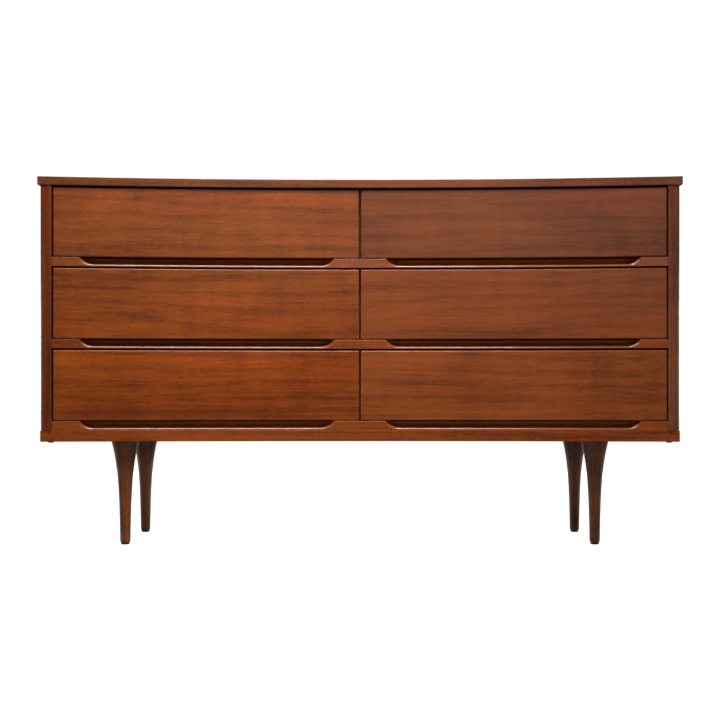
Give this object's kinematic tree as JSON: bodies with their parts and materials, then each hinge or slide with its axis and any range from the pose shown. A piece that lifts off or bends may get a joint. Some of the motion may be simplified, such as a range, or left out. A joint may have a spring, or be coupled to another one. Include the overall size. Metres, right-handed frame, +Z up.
{
  "type": "dresser",
  "caption": "Low wide walnut dresser with a hollow curved front, two columns of drawers opened by finger scoops carved in the rails below them, on turned flared legs.",
  "frame": {"origin": "middle of the bounding box's bottom face, on the floor between the four legs", "axes": "+X along the width to the right seen from the front, +Y from the drawers to the back, +Z up"},
  "size_m": [1.372, 0.4567, 0.79],
  "materials": {
    "walnut_top": "satin lacquered walnut veneer",
    "walnut_case": "satin lacquered walnut",
    "walnut_front": "satin lacquered walnut veneer, grain across",
    "walnut_leg": "satin dark-stained turned wood",
    "drawer_wood": "thinly sealed pale hardwood",
    "bottom_plywood": "thin plywood panel",
    "hardboard": "matt brown hardboard",
    "stud_steel": "plain steel",
    "glide_nylon": "matt dark nylon"
  },
  "bodies": {
    "case": {"top_board": "walnut_top", "bottom_board": "walnut_case", "side_panel_left": "walnut_case", "side_panel_right": "walnut_case", "centre_divider": "drawer_wood", "back_panel": "hardboard", "drawer_rail_lower": "walnut_case", "drawer_rail_middle": "walnut_case", "drawer_rail_upper": "walnut_case", "rear_rail_middle": "drawer_wood", "rear_rail_upper": "drawer_wood", "drawer_guide_lower_left": "drawer_wood", "drawer_guide_lower_right": "drawer_wood", "drawer_guide_middle_left": "drawer_wood", "drawer_guide_middle_right": "drawer_wood", "drawer_guide_upper_left": "drawer_wood", "drawer_guide_upper_right": "drawer_wood", "leg_front_left": "walnut_leg", "leg_front_right": "walnut_leg", "leg_rear_left": "walnut_leg", "leg_rear_right": "walnut_leg", "leg_glide_front_left": "glide_nylon", "leg_glide_front_right": "glide_nylon", "leg_glide_rear_left": "glide_nylon", "leg_glide_rear_right": "glide_nylon", "leg_stud_front_left": "stud_steel", "leg_stud_front_right": "stud_steel", "leg_stud_rear_left": "stud_steel", "leg_stud_rear_right": "stud_steel"},
    "drawer_lower_left": {"drawer_front_lower_left": "walnut_front", "drawer_side_lower_left_left": "drawer_wood", "drawer_side_lower_left_right": "drawer_wood", "drawer_back_lower_left": "drawer_wood", "drawer_bottom_lower_left": "bottom_plywood"},
    "drawer_lower_right": {"drawer_front_lower_right": "walnut_front", "drawer_side_lower_right_left": "drawer_wood", "drawer_side_lower_right_right": "drawer_wood", "drawer_back_lower_right": "drawer_wood", "drawer_bottom_lower_right": "bottom_plywood"},
    "drawer_middle_left": {"drawer_front_middle_left": "walnut_front", "drawer_side_middle_left_left": "drawer_wood", "drawer_side_middle_left_right": "drawer_wood", "drawer_back_middle_left": "drawer_wood", "drawer_bottom_middle_left": "bottom_plywood"},
    "drawer_middle_right": {"drawer_front_middle_right": "walnut_front", "drawer_side_middle_right_left": "drawer_wood", "drawer_side_middle_right_right": "drawer_wood", "drawer_back_middle_right": "drawer_wood", "drawer_bottom_middle_right": "bottom_plywood"},
    "drawer_upper_left": {"drawer_front_upper_left": "walnut_front", "drawer_side_upper_left_left": "drawer_wood", "drawer_side_upper_left_right": "drawer_wood", "drawer_back_upper_left": "drawer_wood", "drawer_bottom_upper_left": "bottom_plywood"},
    "drawer_upper_right": {"drawer_front_upper_right": "walnut_front", "drawer_side_upper_right_left": "drawer_wood", "drawer_side_upper_right_right": "drawer_wood", "drawer_back_upper_right": "drawer_wood", "drawer_bottom_upper_right": "bottom_plywood"}
  },
  "joints": [
    {"name": "drawer_lower_left_slide", "type": "slide", "parent": "case", "child": "drawer_lower_left", "axis": [0, -1, 0], "range_m": [0, 0.3]},
    {"name": "drawer_lower_right_slide", "type": "slide", "parent": "case", "child": "drawer_lower_right", "axis": [0, -1, 0], "range_m": [0, 0.3]},
    {"name": "drawer_middle_left_slide", "type": "slide", "parent": "case", "child": "drawer_middle_left", "axis": [0, -1, 0], "range_m": [0, 0.3]},
    {"name": "drawer_middle_right_slide", "type": "slide", "parent": "case", "child": "drawer_middle_right", "axis": [0, -1, 0], "range_m": [0, 0.3]},
    {"name": "drawer_upper_left_slide", "type": "slide", "parent": "case", "child": "drawer_upper_left", "axis": [0, -1, 0], "range_m": [0, 0.3]},
    {"name": "drawer_upper_right_slide", "type": "slide", "parent": "case", "child": "drawer_upper_right", "axis": [0, -1, 0], "range_m": [0, 0.3]}
  ]
}
